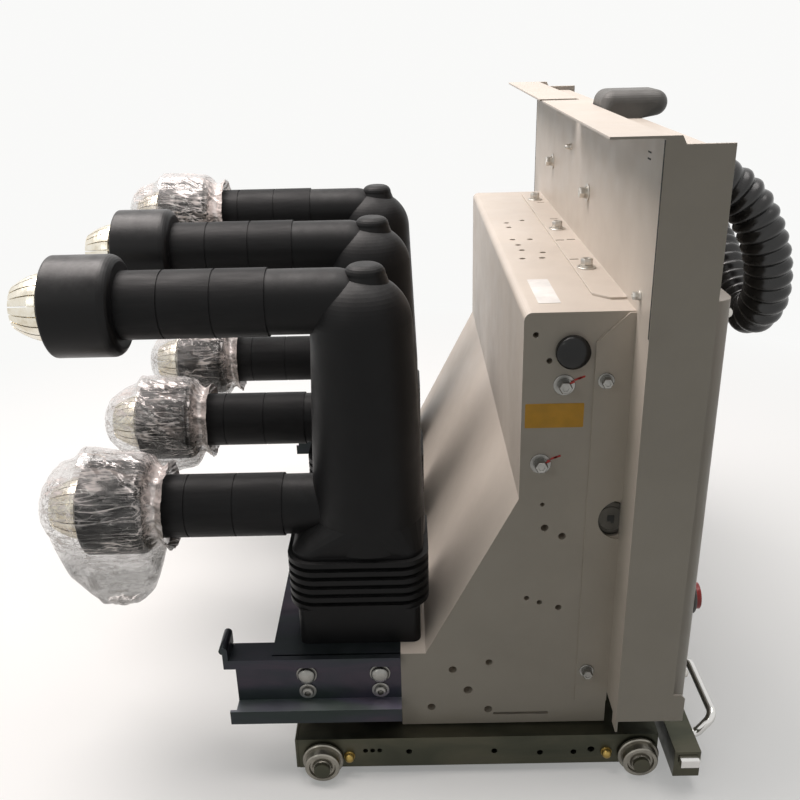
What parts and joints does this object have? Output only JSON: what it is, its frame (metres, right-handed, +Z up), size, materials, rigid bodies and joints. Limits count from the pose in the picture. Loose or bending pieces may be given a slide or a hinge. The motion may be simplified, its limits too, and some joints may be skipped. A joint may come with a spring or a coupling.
{
  "type": "withdrawable vacuum circuit breaker",
  "caption": "Medium-voltage vacuum circuit breaker on a wheeled racking truck, with moulded poles, contact arms, sheet-metal housing and a front pan.",
  "frame": {"origin": "middle of the part on the floor under its wheels", "axes": "+X towards the front panel, +Y across the phases, +Z up"},
  "size_m": [0.6929, 0.667, 0.6249],
  "materials": {
    "black_epoxy": "satin moulded epoxy",
    "black_sleeve": "satin insulating sleeve",
    "black_shield": "satin moulded plastic",
    "silver_contact": "silver-plated copper",
    "clear_film": "clear crinkled film",
    "grey_paint": "fine matt warm grey paint",
    "black_plug": "moulded rubber",
    "dark_zinc": "iridescent dark zinc passivation",
    "cover_plastic": "fine grained plastic",
    "red_plastic": "smooth",
    "yellow_zinc": "yellow zinc passivation",
    "wheel_steel": "turned steel",
    "chrome": "polished",
    "hose_plastic": "glossy corrugated"
  },
  "bodies": {
    "breaker": {"pole_near": "black_epoxy", "pole_middle": "black_epoxy", "pole_far": "black_epoxy", "arm_near_upper": "black_sleeve", "shield_near_upper": "black_shield", "contact_near_upper": "silver_contact", "arm_middle_upper": "black_sleeve", "shield_middle_upper": "black_shield", "contact_middle_upper": "silver_contact", "arm_far_upper": "black_sleeve", "shield_far_upper": "black_shield", "contact_far_upper": "silver_contact", "arm_near_lower": "black_sleeve", "shield_near_lower": "black_shield", "contact_near_lower": "silver_contact", "arm_middle_lower": "black_sleeve", "shield_middle_lower": "black_shield", "contact_middle_lower": "silver_contact", "arm_far_lower": "black_sleeve", "shield_far_lower": "black_shield", "contact_far_lower": "silver_contact", "film_near_lower": "clear_film", "film_middle_lower": "clear_film", "film_far_lower": "clear_film", "film_far_upper": "clear_film", "housing": "grey_paint", "side_plate_near": "grey_paint", "side_plate_far": "grey_paint", "side_covers": "grey_paint", "pan": "grey_paint", "blanking_plugs": "black_plug", "pole_brackets": "dark_zinc", "pole_shelf": "dark_zinc", "front_cover": "grey_paint", "cover_hood": "cover_plastic", "push_buttons": "red_plastic", "truck_channel_near": "yellow_zinc", "truck_channel_far": "yellow_zinc", "truck_floor": "yellow_zinc", "hose": "hose_plastic"},
    "wheel_rear_near": {"wheel_rear_near": "wheel_steel"},
    "wheel_rear_far": {"wheel_rear_far": "wheel_steel"},
    "wheel_front_near": {"wheel_front_near": "wheel_steel"},
    "wheel_front_far": {"wheel_front_far": "wheel_steel"},
    "racking_beam": {"crossbeam": "yellow_zinc", "guide_bars": "yellow_zinc", "racking_screw": "wheel_steel"},
    "handle_near": {"handle_near": "chrome"},
    "handle_far": {"handle_far": "chrome"}
  },
  "joints": [
    {"name": "wheel_rear_near_roll", "type": "hinge", "parent": "breaker", "child": "wheel_rear_near", "pos_m": [-0.05946, -0.308, 0.02], "axis": [0, 1, 0], "continuous": true},
    {"name": "wheel_rear_far_roll", "type": "hinge", "parent": "breaker", "child": "wheel_rear_far", "pos_m": [-0.05946, 0.308, 0.02], "axis": [0, 1, 0], "continuous": true},
    {"name": "wheel_front_near_roll", "type": "hinge", "parent": "breaker", "child": "wheel_front_near", "pos_m": [0.25054, -0.308, 0.02], "axis": [0, 1, 0], "continuous": true},
    {"name": "wheel_front_far_roll", "type": "hinge", "parent": "breaker", "child": "wheel_front_far", "pos_m": [0.25054, 0.308, 0.02], "axis": [0, 1, 0], "continuous": true},
    {"name": "beam_slide", "type": "slide", "parent": "breaker", "child": "racking_beam", "axis": [1, 0, 0], "range_m": [0, 0.2]},
    {"name": "handle_near_pull", "type": "slide", "parent": "racking_beam", "child": "handle_near", "axis": [0, 1, 0], "range_m": [0, 0.014], "stiffness_N_per_m": 400, "springref_m": -0.02},
    {"name": "handle_far_pull", "type": "slide", "parent": "racking_beam", "child": "handle_far", "axis": [0, -1, 0], "range_m": [0, 0.014], "stiffness_N_per_m": 400, "springref_m": -0.02}
  ]
}
